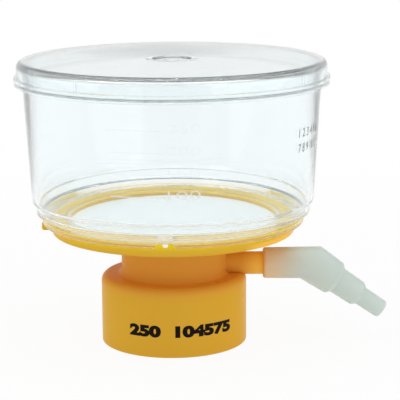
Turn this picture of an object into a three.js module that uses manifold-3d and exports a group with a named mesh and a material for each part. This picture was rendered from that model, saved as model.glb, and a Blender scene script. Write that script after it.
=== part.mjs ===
// Bottle-top vacuum filtration unit, in millimetres, +Z up, standing on its collar.
// A clear funnel with a loose lid is joined to a moulded base. The base holds the membrane
// over a drain field, and carries the outlet, the neck, the vacuum arm and the bottle collar.
// A bent, stepped hose adapter turns on the vacuum arm, which points along +X.

import * as THREE from 'three';
import { mergeVertices } from 'three/addons/utils/BufferGeometryUtils.js';
import Module from 'manifold-3d';

const wasm = await Module();
wasm.setup();

// ---- Driving dimensions ----

// Fits
const seatGap = 0.3; // between pieces that rest on each other
const swivelGap = 0.3; // round the arm inside the adapter's socket
const rimGap = 0.6; // between the base's rim and the funnel's lip
const lidGap = 0.65; // between the funnel's rim and the lid's skirt

// Bottle collar, for a screw neck of 45 mm
const bottleRadius = 22.5;
const threadRoom = 0.3;
const collarWall = 2.55;
const collarHeight = 23.9;
const collarTopWall = 2.2;
const collarEdge = 2.5; // rounding of the top edge
const collarFoot = 0.3; // rounding of the standing rim
const mouthChamfer = 0.6;

// Neck
const neckRadius = 18.25;
const neckWall = 1.8;
const neckHeight = 15.4;
const neckFillet = 0.7;
const neckFoot = 1.8; // fillet between the neck and the collar's top

// Membrane
const membraneRadius = 37.5;
const membraneThickness = 0.3;

// Flange that carries the membrane
const flangeHeight = 2.9; // from its underside to the membrane's seat
const flangeEdge = 0.4;
const landRise = 1.5; // outer land above the membrane's seat
const landWidth = 4.2;
const landEdge = 0.2;
const seatWidth = 2;
const coreWidth = 2; // moulded groove under the land
const coreDepth = 2.9;
const coreDraft = 0.2;
const coreInset = 0.6; // from the land's inner edge to the groove

// Drain field under the membrane
const drainDepth = 0.9; // at its rim
const drainFall = 0.4; // from the rim to the outlet
const ribWidth = 1;
const ribCount = 16; // long ribs, with a short one between each two
const longRibStart = 6.5;
const shortRibStart = 17;
const channelWidth = 1.6; // ring channels that link the spaces between the ribs
const channelRadii = [14, 25];

// Outlet tube
const outletBore = 2.6;
const outletWall = 1.6;
const outletTaper = 0.6;
const outletDrop = 2.3; // below the collar's top wall
const countersink = 1.6;

// Rim lug, on the side away from the arm
const lugReach = 3.4;
const lugWidth = 9;
const lugHeight = 2.6;
const lugRoot = 2;
const lugEdge = 0.8;

// Vacuum arm
const armRadius = 4;
const armBore = 2.4;
const armLength = 22.45; // from the neck's wall to its end
const armSink = 1.1; // its underside below the collar's top
const armChamfer = 0.5;

// Plug in the arm
const plugLength = 8;
const plugInset = 3; // from the arm's end

// Bottle seal
const sealThickness = 2;
const sealWidth = 5.1;

// Funnel
const clampWidth = 1.5; // funnel floor over the membrane's edge
const floorThickness = 1.3; // at the wall
const floorFall = 0.6; // of the floor's top towards the membrane
const lipWall = 2.6;
const lipDrop = 1.1; // below the floor's underside
const ledgeWidth = 2.2;
const ledgeRise = 2.3; // above the floor's underside
const ledgeEdge = 0.6;
const bandHeight = 3.3;
const shoulderRise = 1.2;
const shoulderWidth = 1.3;
const wallHeight = 46.3; // from the shoulder to the rim
const wallThickness = 1.7;
const wallDraft = THREE.MathUtils.degToRad(3.27);
const innerStepRise = 0.5;
const cornerRise = 2.6; // sloped corner between floor and wall
const cornerWidth = 2.3;
const rimEdge = 0.4;

// Notch in the funnel's lip, with the moulding gate's stub in it
const notchAngle = THREE.MathUtils.degToRad(-92.5);
const notchWidth = 7.2;
const notchSlope = 1.1;
const notchHeight = 1.5;
const stubRadius = 0.8;
const stubLength = 0.75;
const stubInset = 0.3; // from the lip's outer face

// Lid
const lidWall = 1;
const panelThickness = 1.5;
const skirtDrop = 6.7; // below the panel's underside
const lidBandHeight = 2.7;
const lidBandStep = 0.9;
const lidInnerBand = 1.5;
const lidEdge = 2.2;
const lidInnerEdge = 0.9;
const bandEdge = 0.25;
const dishRadius = 6.9;
const dishDepth = 0.8;
const dishSlope = 0.6;
const guideCount = 4;
const guideAngle = THREE.MathUtils.degToRad(-125);
const guideWidth = 1;
const guideHeight = 3.3;
const guideGap = 0.3;

// Hose adapter
const socketDepth = 9.8;
const sleeveWall = 1.1;
const sleeveFlare = 0.15;
const sleeveLength = 16.7; // from its mouth to the bend
const sleeveEdge = 0.8;
const socketChamfer = 0.3;
const passage = 2.5; // bore between the socket and the bend
const bendAngle = THREE.MathUtils.degToRad(34.5);
const firstBarbEnd = 6.15; // the first barb grows out of the sleeve
const firstBarbLength = 9.9;
const laterBarbs = [ // one for each smaller hose, towards the tip
  { start: 4.75, end: 4.55, length: 8.6 },
  { start: 3.35, end: 3.2, length: 9.2 },
];
const barbLead = 1.5; // sloped shoulder between two barbs
const tipEdge = 0.8;
const tipBore = 1.9;

// Facets round a circle, and the longest step along a rounded corner
const wideFacets = 60;
const slimFacets = 36;
const arcStep = 0.95;
const barbSteps = 4; // rings along the first barb, so that its section changes evenly
const touch = 1e-4; // points nearer than this are one

// ---- Levels and radii that follow from them ----

const boreRadius = bottleRadius + threadRoom;
const collarRadius = boreRadius + collarWall;
const webBottom = collarHeight - collarTopWall;
const neckBore = neckRadius - neckWall;
const flangeBottom = collarHeight + neckHeight;
const seatLevel = flangeBottom + flangeHeight;
const landTop = seatLevel + landRise;
const landInner = membraneRadius + seatGap;
const flangeRadius = landInner + landWidth;
const drainRadius = landInner - seatWidth;
const membraneBottom = seatLevel + seatGap;
const clampBottom = membraneBottom + membraneThickness + seatGap;
const floorUnder = landTop + seatGap;
const floorTop = floorUnder + floorThickness;
const lipInner = flangeRadius + rimGap;
const lipOuter = lipInner + lipWall;
const lipBottom = floorUnder - lipDrop;
const ledgeLevel = floorUnder + ledgeRise;
const bandRadius = lipOuter + ledgeWidth;
const shoulderLow = ledgeLevel + bandHeight;
const shoulderHigh = shoulderLow + shoulderRise;
const shoulderRadius = bandRadius + shoulderWidth;
const rimLevel = shoulderHigh + wallHeight;
const rimRadius = shoulderRadius + wallHeight * Math.tan(wallDraft);
const lidInner = rimRadius + lidGap;
const lidOuter = lidInner + lidWall;
const armLevel = collarHeight - armSink + armRadius;
const socketRadius = armRadius + swivelGap;

// ---- Making and joining solids ----

// A closed outline in the (radius, height) plane. Each corner is [radius, height, rounding].
function outline(corners) {
  const points = [];
  corners.forEach(([r, z, rounding = 0], i) => {
    const corner = new THREE.Vector2(r, z);
    if (rounding === 0) {
      points.push(corner);
      return;
    }
    const before = new THREE.Vector2(...corners.at(i - 1)).sub(corner).normalize();
    const after = new THREE.Vector2(...corners[(i + 1) % corners.length]).sub(corner).normalize();
    const half = Math.acos(before.dot(after)) / 2;
    const middle = before.clone().add(after).normalize();
    const centre = corner.clone().addScaledVector(middle, rounding / Math.sin(half));
    const spoke = corner.clone().addScaledVector(before, rounding / Math.tan(half)).sub(centre);
    const turn = (2 * half - Math.PI) * Math.sign(before.cross(after));
    const steps = Math.ceil((rounding * Math.abs(turn)) / arcStep);
    for (let k = 0; k <= steps; k += 1) {
      points.push(spoke.clone().rotateAround(new THREE.Vector2(), (turn * k) / steps).add(centre));
    }
  });
  return points;
}

// A solid of a closed mesh: shared vertices are merged and triangles without area dropped.
function toSolid(geometry) {
  const bare = geometry.clone();
  bare.deleteAttribute('normal');
  bare.deleteAttribute('uv');
  const merged = mergeVertices(bare, touch);
  const corners = merged.index.array;
  const kept = [];
  for (let i = 0; i < corners.length; i += 3) {
    const [a, b, c] = corners.slice(i, i + 3);
    if (a !== b && b !== c && c !== a) kept.push(a, b, c);
  }
  return new wasm.Manifold(new wasm.Mesh({
    numProp: 3,
    vertProperties: new Float32Array(merged.attributes.position.array),
    triVerts: new Uint32Array(kept),
  }));
}

// The outline turned round the Z axis, with its faces pointing out.
function revolve(corners, facets = wideFacets) {
  const points = outline(corners);
  if (THREE.ShapeUtils.area(points) < 0) points.reverse();
  points.push(points[0].clone());
  return new THREE.LatheGeometry(points, facets).rotateX(Math.PI / 2);
}

// A round bar along +X from x = start to x = end, with chamfered ends.
function bar(radius, start, end, chamfer = 0) {
  return toSolid(revolve([
    [0, start],
    [radius - chamfer, start],
    ...(chamfer ? [[radius, start + chamfer], [radius, end - chamfer]] : [[radius, start]]),
    [radius - chamfer, end],
    [0, end],
  ], slimFacets).rotateY(Math.PI / 2));
}

// A block between two corners, turned about the Z axis.
function block(low, high, angle = 0) {
  const size = high.map((value, i) => value - low[i]);
  const centre = high.map((value, i) => (value + low[i]) / 2);
  return toSolid(new THREE.BoxGeometry(...size).translate(...centre).rotateZ(angle));
}

function join(solids) {
  return solids.reduce((whole, solid) => whole.add(solid));
}

function node(name, solid, look) {
  const { vertProperties, triVerts } = solid.getMesh();
  const geometry = new THREE.BufferGeometry();
  geometry.setAttribute('position', new THREE.BufferAttribute(vertProperties, 3));
  geometry.setIndex(new THREE.BufferAttribute(triVerts, 1));
  geometry.computeVertexNormals();
  const mesh = new THREE.Mesh(geometry, new THREE.MeshStandardMaterial(look));
  mesh.name = name;
  return mesh;
}

// ---- Filter base ----

// Collar, neck, flange and outlet tube in one section.
function baseBody() {
  const outletRadius = outletBore + outletWall;
  const outletLow = webBottom - outletDrop;
  const drainLow = seatLevel - drainDepth - drainFall;
  const coreInner = landInner + coreInset;
  const coreOuter = coreInner + coreWidth;
  const coreTop = flangeBottom + coreDepth;
  return toSolid(revolve([
    [outletBore, outletLow],
    [outletRadius, outletLow],
    [outletRadius + outletTaper, flangeBottom, neckFillet],
    [neckBore, flangeBottom, neckFillet],
    [neckBore, webBottom],
    [boreRadius, webBottom],
    [boreRadius, mouthChamfer],
    [boreRadius + mouthChamfer, 0],
    [collarRadius, 0, collarFoot],
    [collarRadius, collarHeight, collarEdge],
    [neckRadius, collarHeight, neckFoot],
    [neckRadius, flangeBottom, neckFillet],
    [coreInner, flangeBottom],
    [coreInner + coreDraft, coreTop],
    [coreOuter - coreDraft, coreTop],
    [coreOuter, flangeBottom],
    [flangeRadius, flangeBottom, flangeEdge],
    [flangeRadius, landTop, landEdge],
    [landInner, landTop],
    [landInner, seatLevel],
    [drainRadius, seatLevel],
    [drainRadius, seatLevel - drainDepth],
    [outletBore + countersink, drainLow],
    [outletBore, drainLow - countersink],
  ]));
}

// Radial ribs that hold the membrane up, cut by ring channels.
function drainRibs() {
  const low = seatLevel - drainDepth - drainFall;
  const ribs = Array.from({ length: 2 * ribCount }, (_, i) => {
    const start = i % 2 ? shortRibStart : longRibStart;
    const angle = (i * Math.PI) / ribCount;
    return block([start, -ribWidth / 2, low], [drainRadius + seatWidth / 2, ribWidth / 2, seatLevel], angle);
  });
  const channels = channelRadii.map((radius) => toSolid(revolve([
    [radius, low],
    [radius + channelWidth, low],
    [radius + channelWidth, seatLevel + landRise],
    [radius, seatLevel + landRise],
  ])));
  return join(ribs).subtract(join(channels));
}

// Lug under the funnel's lip, with its lower outer edge rounded.
function rimLug() {
  const top = lipBottom - seatGap;
  const side = outline([
    [-flangeRadius + lugRoot, top - lugHeight],
    [-flangeRadius + lugRoot, top],
    [-flangeRadius - lugReach, top],
    [-flangeRadius - lugReach, top - lugHeight, lugEdge],
  ]);
  const lug = new THREE.ExtrudeGeometry(new THREE.Shape(side), { depth: lugWidth, bevelEnabled: false });
  return toSolid(lug.translate(0, 0, -lugWidth / 2).rotateX(Math.PI / 2));
}

function filterBase() {
  const armEnd = neckRadius + armLength;
  const wallMiddle = neckRadius - neckWall / 2;
  const arm = bar(armRadius, wallMiddle, armEnd, armChamfer).translate(0, 0, armLevel);
  const bore = bar(armBore, neckBore - neckWall, armEnd + armRadius).translate(0, 0, armLevel);
  const body = join([baseBody(), drainRibs(), rimLug(), arm]).subtract(bore);
  return node('filter_base', body, { color: 0xe3a42b, roughness: 0.25, metalness: 0 });
}

// ---- Membrane, seal and plug ----

function membrane() {
  const disc = toSolid(revolve([
    [0, membraneBottom],
    [membraneRadius, membraneBottom],
    [membraneRadius, membraneBottom + membraneThickness],
    [0, membraneBottom + membraneThickness],
  ]));
  return node('membrane', disc, { color: 0xf4f6f5, roughness: 0.9, metalness: 0 });
}

function bottleSeal() {
  const outer = boreRadius - seatGap;
  const inner = Math.max(outer - sealWidth, neckBore + seatGap);
  const top = webBottom - seatGap;
  const ring = toSolid(revolve([
    [inner, top - sealThickness],
    [outer, top - sealThickness],
    [outer, top],
    [inner, top],
  ]));
  return node('bottle_seal', ring, { color: 0xf2f1ec, roughness: 0.8, metalness: 0 });
}

function armPlug() {
  const end = armLength - plugInset;
  const plug = bar(armBore - seatGap, end - plugLength, end);
  return node('arm_plug', plug, { color: 0xf7f6f1, roughness: 1, metalness: 0 });
}

// ---- Funnel ----

// Trapezoid cut through the lip, wider at the bottom.
function lipNotch() {
  const half = notchWidth / 2;
  const under = seatGap; // the cut starts just below the lip
  const slope = (notchSlope / notchHeight) * under;
  const face = new THREE.Shape([
    new THREE.Vector2(-half - slope, -under),
    new THREE.Vector2(half + slope, -under),
    new THREE.Vector2(half - notchSlope, notchHeight),
    new THREE.Vector2(-half + notchSlope, notchHeight),
  ]);
  const depth = lipWall + 2 * rimGap;
  const cut = new THREE.ExtrudeGeometry(face, { depth, bevelEnabled: false });
  cut.rotateX(Math.PI / 2).rotateZ(Math.PI / 2).translate(lipInner - rimGap, 0, lipBottom);
  return toSolid(cut.rotateZ(notchAngle));
}

// The gate's stub hangs from the notch's ceiling and ends above the lip's lower edge.
function gateStub() {
  const ceiling = lipBottom + notchHeight;
  const stub = new THREE.CylinderGeometry(stubRadius, stubRadius, 2 * stubLength, slimFacets / 2);
  stub.rotateX(Math.PI / 2).translate(lipOuter - stubRadius - stubInset, 0, ceiling);
  return toSolid(stub.rotateZ(notchAngle));
}

function funnel() {
  const innerTop = rimRadius - wallThickness;
  const innerShoulder = shoulderRadius - wallThickness;
  const innerBand = bandRadius - wallThickness;
  const shell = toSolid(revolve([
    [membraneRadius - clampWidth, clampBottom],
    [membraneRadius, clampBottom],
    [membraneRadius, floorUnder],
    [lipInner, floorUnder],
    [lipInner, lipBottom],
    [lipOuter, lipBottom, landEdge],
    [lipOuter, ledgeLevel],
    [bandRadius, ledgeLevel, ledgeEdge],
    [bandRadius, shoulderLow],
    [shoulderRadius, shoulderHigh, landEdge],
    [rimRadius, rimLevel, rimEdge],
    [innerTop, rimLevel, rimEdge],
    [innerShoulder, shoulderHigh + innerStepRise],
    [innerBand, shoulderLow + innerStepRise],
    [innerBand, floorTop + cornerRise],
    [innerBand - cornerWidth, floorTop],
    [membraneRadius - clampWidth, floorTop - floorFall],
  ]));
  const whole = shell.subtract(lipNotch()).add(gateStub());
  return node('funnel', whole, { color: 0xeaf3f3, roughness: 0.06, metalness: 0 });
}

// ---- Lid ----

// Short upright ribs inside the skirt, which centre the lid on the funnel's rim.
function lidGuides() {
  const panelUnder = rimLevel + seatGap;
  const top = panelUnder - lidInnerEdge;
  return Array.from({ length: guideCount }, (_, i) => {
    const angle = guideAngle + (i * 2 * Math.PI) / guideCount;
    return block(
      [rimRadius + guideGap, -guideWidth / 2, top - guideHeight],
      [lidInner + lidWall / 2, guideWidth / 2, top],
      angle,
    );
  });
}

function lid() {
  const panelUnder = rimLevel + seatGap;
  const panelTop = panelUnder + panelThickness;
  const skirtLow = panelUnder - skirtDrop;
  const bandTop = skirtLow + lidBandHeight;
  const bandOuter = lidOuter + lidBandStep;
  const shell = toSolid(revolve([
    [0, panelUnder - dishDepth],
    [dishRadius, panelUnder - dishDepth],
    [dishRadius + dishSlope, panelUnder],
    [lidInner, panelUnder, lidInnerEdge],
    [lidInner, skirtLow + lidInnerBand],
    [lidInner + lidBandStep, skirtLow + lidInnerBand - lidBandStep],
    [lidInner + lidBandStep, skirtLow],
    [bandOuter, skirtLow, bandEdge],
    [bandOuter, bandTop, bandEdge],
    [lidOuter, bandTop],
    [lidOuter, panelTop, lidEdge],
    [dishRadius, panelTop],
    [dishRadius - dishSlope, panelTop - dishDepth],
    [0, panelTop - dishDepth],
  ]));
  return node('lid', join([shell, ...lidGuides()]), { color: 0xe6eff0, roughness: 0.05, metalness: 0 });
}

// ---- Hose adapter ----

// Bends a straight bar along +X down at the end of the sleeve. The section at the bend lies
// square to the barbs, so there it is an ellipse, and it grows round again over the first barb.
function bend(geometry) {
  const corner = sleeveLength;
  const places = geometry.attributes.position;
  const point = new THREE.Vector3();
  const stretch = 1 / Math.cos(bendAngle);
  for (let i = 0; i < places.count; i += 1) {
    point.fromBufferAttribute(places, i);
    const past = point.x - corner;
    if (past > -touch) {
      const share = THREE.MathUtils.clamp(past / firstBarbLength, 0, 1);
      const upright = point.z * THREE.MathUtils.lerp(stretch, 1, share);
      point.x = corner + past * Math.cos(bendAngle) + upright * Math.sin(bendAngle);
      point.z = upright * Math.cos(bendAngle) - past * Math.sin(bendAngle);
      places.setXYZ(i, ...point);
    }
  }
  return geometry;
}

function firstBarb(rootRadius, endRadius) {
  return Array.from({ length: barbSteps + 1 }, (_, i) => [
    THREE.MathUtils.lerp(rootRadius, endRadius, i / barbSteps),
    sleeveLength + (firstBarbLength * i) / barbSteps,
  ]);
}

function barbOutline() {
  const corners = [];
  let along = sleeveLength + firstBarbLength;
  for (const barb of laterBarbs) {
    along += barbLead;
    corners.push([barb.start, along]);
    along += barb.length;
    corners.push([barb.end, along]);
  }
  corners.at(-1)[2] = tipEdge;
  return corners;
}

function hoseAdapter() {
  const sleeveRadius = socketRadius + sleeveWall;
  const barbCorners = barbOutline();
  const tip = barbCorners.at(-1)[1];
  const body = toSolid(bend(revolve([
    [0, 0],
    [sleeveRadius, 0, sleeveEdge],
    ...firstBarb(sleeveRadius + sleeveFlare, firstBarbEnd),
    ...barbCorners,
    [0, tip],
  ], slimFacets).rotateY(Math.PI / 2)));
  const hollow = toSolid(bend(revolve([
    [0, -socketChamfer],
    [socketRadius + 2 * socketChamfer, -socketChamfer],
    [socketRadius, socketChamfer],
    [socketRadius, socketDepth],
    [passage, socketDepth],
    ...firstBarb(passage, passage),
    [tipBore, tip + tipEdge],
    [0, tip + tipEdge],
  ], slimFacets).rotateY(Math.PI / 2)));
  return node('hose_adapter', body.subtract(hollow), { color: 0xe4e3d8, roughness: 0.4, metalness: 0 });
}

// ---- Assembly ----

const arm = new THREE.Group();
arm.position.set(neckRadius, 0, armLevel);
const adapter = hoseAdapter();
adapter.position.x = armLength + seatGap - socketDepth;
arm.add(armPlug(), adapter);

const unit = new THREE.Group();
unit.add(lid(), funnel(), membrane(), filterBase(), bottleSeal(), arm);

// The origin is the middle of the footprint, on the plane that the collar stands on.
const extent = new THREE.Box3().setFromObject(unit);
unit.position.x = -(extent.min.x + extent.max.x) / 2;

export default unit;
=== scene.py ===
# Bottle-top vacuum filtration unit: a clear lidded funnel welded over a membrane on a yellow moulded
# base, with a milky stepped hose adapter that turns on the base's vacuum arm.
import math
import bmesh
import bpy
from mathutils import Matrix, Vector


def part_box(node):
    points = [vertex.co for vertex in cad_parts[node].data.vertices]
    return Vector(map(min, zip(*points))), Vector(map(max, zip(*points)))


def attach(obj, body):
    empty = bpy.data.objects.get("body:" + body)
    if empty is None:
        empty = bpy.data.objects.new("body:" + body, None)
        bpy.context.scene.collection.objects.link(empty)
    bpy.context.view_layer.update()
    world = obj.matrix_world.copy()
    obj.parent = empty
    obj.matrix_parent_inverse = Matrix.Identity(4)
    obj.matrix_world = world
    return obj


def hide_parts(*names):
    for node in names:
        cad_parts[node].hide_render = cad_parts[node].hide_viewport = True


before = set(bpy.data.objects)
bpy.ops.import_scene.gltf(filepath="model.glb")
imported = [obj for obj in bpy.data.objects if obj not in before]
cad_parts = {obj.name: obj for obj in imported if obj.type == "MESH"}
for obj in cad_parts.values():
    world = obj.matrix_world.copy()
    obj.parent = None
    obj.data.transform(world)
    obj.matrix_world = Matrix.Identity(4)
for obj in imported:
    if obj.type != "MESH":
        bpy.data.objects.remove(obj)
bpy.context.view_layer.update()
mm = 0.001
sceneNow = bpy.context.scene
axisX = sum(corner.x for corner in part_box("membrane")) / 2  # where the funnel's upright axis stands

# camera, first of all
cameraSetup = {
    "lens": 143.05,
    "sensor": 36,
    "aside": 9.31,  # mm to the right of the funnel's axis
    "back": 540.4,  # mm in front of it
    "height": 163.7,  # mm above the table
    "pitch": 11.95,  # degrees down
    "roll": -0.35,
}


def makeCamera(setup):
    data = bpy.data.cameras.new("studioCamera")
    data.lens = setup["lens"]
    data.sensor_width = setup["sensor"]
    camera = bpy.data.objects.new("studioCamera", data)
    sceneNow.collection.objects.link(camera)
    place = Matrix.Translation((axisX + setup["aside"] * mm, -setup["back"] * mm, setup["height"] * mm))
    tilt = Matrix.Rotation(math.radians(90 - setup["pitch"]), 4, "X")
    roll = Matrix.Rotation(math.radians(setup["roll"]), 4, "Z")
    camera.matrix_world = place @ tilt @ roll
    sceneNow.camera = camera


makeCamera(cameraSetup)
print("camera placed")


# small helpers for colours, nodes and meshes
def linear(code):
    channels = [int(code[i:i + 2], 16) / 255 for i in (1, 3, 5)]
    lit = [c / 12.92 if c <= 0.04045 else ((c + 0.055) / 1.055) ** 2.4 for c in channels]
    return (*lit, 1.0)


def addNode(tree, kind, inputs=None, **settings):
    # adds a node and sets it up; an input is a value, a socket, or a node whose first socket is meant
    node = tree.nodes.new(kind)
    for name, value in settings.items():
        setattr(node, name, value)
    for name, value in (inputs or {}).items():
        if isinstance(value, bpy.types.Node):
            value = value.outputs[0]
        if isinstance(value, bpy.types.NodeSocket):
            tree.links.new(value, node.inputs[name])
        else:
            node.inputs[name].default_value = value
    return node


def boxOf(node):
    # corners of a CAD node in mm, with x measured from the funnel's axis
    shift = Vector((axisX, 0, 0))
    low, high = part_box(node)
    return (low - shift) / mm, (high - shift) / mm


def outline(corners, turnStep=9):
    # corners are (radius, height) or (radius, height, rounding) in mm; a rounding becomes an arc
    points = []
    for i, corner in enumerate(corners):
        here = Vector(corner[:2])
        if len(corner) < 3:
            points.append(here)
            continue
        rounding = corner[2]
        before = (Vector(corners[i - 1][:2]) - here).normalized()
        after = (Vector(corners[(i + 1) % len(corners)][:2]) - here).normalized()
        half = before.angle(after) / 2
        centre = here + (before + after).normalized() * (rounding / math.sin(half))
        spoke = here + before * (rounding / math.tan(half)) - centre
        turn = (2 * half - math.pi) * math.copysign(1, before.cross(after))
        steps = max(2, math.ceil(math.degrees(abs(turn)) / turnStep))
        for k in range(steps + 1):
            angle = turn * k / steps
            cosine, sine = math.cos(angle), math.sin(angle)
            swung = (spoke.x * cosine - spoke.y * sine, spoke.x * sine + spoke.y * cosine)
            points.append(centre + Vector(swung))
    return points


def newTree(name, sockets):
    # a Geometry Nodes group with a geometry input and output, the named inputs and a material
    tree = bpy.data.node_groups.new(name, "GeometryNodeTree")
    tree.interface.new_socket("Geometry", in_out="INPUT", socket_type="NodeSocketGeometry")
    for label, kind in {**sockets, "Material": "Material"}.items():
        tree.interface.new_socket(label, in_out="INPUT", socket_type="NodeSocket" + kind)
    tree.interface.new_socket("Geometry", in_out="OUTPUT", socket_type="NodeSocketGeometry")
    return tree, addNode(tree, "NodeGroupInput").outputs


def endTree(tree, geometry, given):
    # every tree ends in real geometry with its material on
    real = addNode(tree, "GeometryNodeRealizeInstances", {"Geometry": geometry})
    painted = addNode(tree, "GeometryNodeSetMaterial", {"Geometry": real, "Material": given["Material"]})
    addNode(tree, "NodeGroupOutput", {"Geometry": painted})
    return tree


def grow(name, mesh, tree, values):
    # runs a tree on a mesh and keeps the result as a plain mesh object
    piece = bpy.data.objects.new(name, mesh)
    sceneNow.collection.objects.link(piece)
    modifier = piece.modifiers.new(tree.name, "NODES")
    modifier.node_group = tree
    for item in tree.interface.items_tree:
        if item.in_out == "INPUT" and item.name in values:
            modifier[item.identifier] = values[item.name]
    return settle(piece)


def settle(piece):
    # swaps a piece's mesh for its evaluated one and drops the modifiers
    shape = piece.evaluated_get(bpy.context.evaluated_depsgraph_get())
    mesh = bpy.data.meshes.new_from_object(shape)
    piece.modifiers.clear()
    piece.data = mesh
    mesh.name = piece.name
    return piece


def combine(piece, tool, operation):
    # joins a tool to a piece, or cuts it out, and removes the tool
    modifier = piece.modifiers.new(operation.lower(), "BOOLEAN")
    modifier.operation = operation
    modifier.solver = "MANIFOLD"
    modifier.material_mode = "TRANSFER"
    modifier.object = tool
    settle(piece)
    bpy.data.objects.remove(tool)
    return piece


def keepMesh(work, mesh):
    # writes an edited mesh back
    work.to_mesh(mesh)
    work.free()
    return mesh


def finishPiece(piece, body, nodes=(), sharp=32, weld=1e-7):
    # outward faces, smooth surfaces with crisp real edges, then the piece goes onto its body and the CAD
    # nodes it replaces are hidden
    work = bmesh.new()
    work.from_mesh(piece.data)
    bmesh.ops.remove_doubles(work, verts=work.verts, dist=weld)
    bmesh.ops.recalc_face_normals(work, faces=work.faces)
    keepMesh(work, piece.data)
    piece.data.shade_smooth()
    piece.data.set_sharp_from_angle(angle=math.radians(sharp))
    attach(piece, body)
    if nodes:
        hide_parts(*nodes)
    print("made", piece.name, len(piece.data.polygons), "faces")
    return piece


# Geometry Nodes: a turned shell. An outline in the XY plane is swept round an upright axis.
def buildTurningTree():
    tree, given = newTree("turnedShell", {"Facets": "Int", "Sweep Radius": "Float", "Axis": "Vector",
                                          "Weld": "Float"})
    profile = addNode(tree, "GeometryNodeMeshToCurve", {"Mesh": given["Geometry"]})
    ring = addNode(tree, "GeometryNodeCurvePrimitiveCircle", {
        "Resolution": given["Facets"], "Radius": given["Sweep Radius"]})
    swept = addNode(tree, "GeometryNodeCurveToMesh", {"Curve": ring, "Profile Curve": profile})
    moved = addNode(tree, "GeometryNodeTransform", {"Geometry": swept, "Translation": given["Axis"]})
    closed = addNode(tree, "GeometryNodeMergeByDistance", {"Geometry": moved, "Distance": given["Weld"]})
    return endTree(tree, closed, given)


# Geometry Nodes: copies of a small shape, evenly round the axis
def buildRoundTree():
    tree, given = newTree("copiesRoundAxis", {"Count": "Int", "Start Angle": "Float", "Axis": "Vector"})
    places = addNode(tree, "GeometryNodePoints", {"Count": given["Count"], "Position": given["Axis"]})
    index = addNode(tree, "GeometryNodeInputIndex")
    share = addNode(tree, "ShaderNodeMath", {0: index, 1: given["Count"]}, operation="DIVIDE")
    angle = addNode(tree, "ShaderNodeMath", {0: share, 1: 2 * math.pi, 2: given["Start Angle"]},
                    operation="MULTIPLY_ADD")
    turn = addNode(tree, "ShaderNodeCombineXYZ", {"Z": angle})
    copies = addNode(tree, "GeometryNodeInstanceOnPoints", {
        "Points": places, "Instance": given["Geometry"], "Rotation": turn})
    return endTree(tree, copies, given)


# Geometry Nodes: a screw thread, whose section shrinks to its end size over the fade at both ends
def buildThreadTree():
    tree, given = newTree("screwThread", {
        "Facets": "Int", "Turns": "Float", "Radius": "Float", "Height": "Float", "Fade": "Float",
        "End Size": "Float", "Place": "Vector"})
    path = addNode(tree, "GeometryNodeCurveSpiral", {
        "Resolution": given["Facets"], "Rotations": given["Turns"], "Start Radius": given["Radius"],
        "End Radius": given["Radius"], "Height": given["Height"]})
    upright = addNode(tree, "GeometryNodeSetCurveNormal", {"Curve": path}, mode="Z_UP")
    along = addNode(tree, "GeometryNodeSplineParameter")
    rest = addNode(tree, "ShaderNodeMath", {0: 1.0, 1: along}, operation="SUBTRACT")
    nearest = addNode(tree, "ShaderNodeMath", {0: along, 1: rest}, operation="MINIMUM")
    fade = addNode(tree, "ShaderNodeMapRange", {
        "Value": nearest, "From Max": given["Fade"], "To Min": given["End Size"]})
    profile = addNode(tree, "GeometryNodeMeshToCurve", {"Mesh": given["Geometry"]})
    swept = addNode(tree, "GeometryNodeCurveToMesh", {
        "Curve": upright, "Profile Curve": profile, "Scale": fade, "Fill Caps": True})
    moved = addNode(tree, "GeometryNodeTransform", {"Geometry": swept, "Translation": given["Place"]})
    return endTree(tree, moved, given)


turningTree = buildTurningTree()
roundTree = buildRoundTree()
threadTree = buildThreadTree()
axisPlace = (axisX, 0.0, 0.0)
origin = (0.0, 0.0, 0.0)


def profileMesh(name, points, closed, sweepRadius):
    # the sweep lays x outwards and y downwards
    corners = [((x - sweepRadius) * mm, -y * mm, 0) for x, y in points]
    edges = [(i, i + 1) for i in range(len(corners) - 1)]
    if closed:
        edges.append((len(corners) - 1, 0))
    mesh = bpy.data.meshes.new(name + "Profile")
    mesh.from_pydata(corners, edges, [])
    return mesh


def turned(name, corners, material, facets=192, axis=axisPlace, weld=0.002):
    # the sweep faces outwards when the outline runs backwards, as a boolean needs
    points = outline(corners)[::-1]
    onAxis = points[0].x == 0 and points[-1].x == 0
    sweepRadius = max(p.x for p in points)
    mesh = profileMesh(name, points, not onAxis, sweepRadius)
    return grow(name, mesh, turningTree, {
        "Facets": facets, "Sweep Radius": sweepRadius * mm, "Axis": axis, "Weld": weld * mm,
        "Material": material})


def blockMesh(name, spans):
    # one mesh of boxes; each span is ((x0, x1), (y0, y1), (z0, z1)) in mm
    work = bmesh.new()
    for span in spans:
        size = Vector(b - a for a, b in span)
        middle = Vector((a + b) / 2 for a, b in span)
        made = bmesh.ops.create_cube(work, size=1)
        bmesh.ops.scale(work, vec=size * mm, verts=made["verts"])
        bmesh.ops.translate(work, vec=middle * mm, verts=made["verts"])
    return keepMesh(work, bpy.data.meshes.new(name))


def barMesh(name, section, along):
    # a straight bar: a flat section, as points in mm, drawn out along a vector in mm
    work = bmesh.new()
    face = work.faces.new([work.verts.new(Vector(point) * mm) for point in section])
    grown = bmesh.ops.extrude_face_region(work, geom=[face])
    moved = [v for v in grown["geom"] if isinstance(v, bmesh.types.BMVert)]
    bmesh.ops.translate(work, vec=Vector(along) * mm, verts=moved)
    bmesh.ops.recalc_face_normals(work, faces=work.faces)
    return keepMesh(work, bpy.data.meshes.new(name))


def around(name, mesh, count, start, material):
    return grow(name, mesh, roundTree, {
        "Count": count, "Start Angle": math.radians(start), "Axis": axisPlace, "Material": material})


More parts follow.
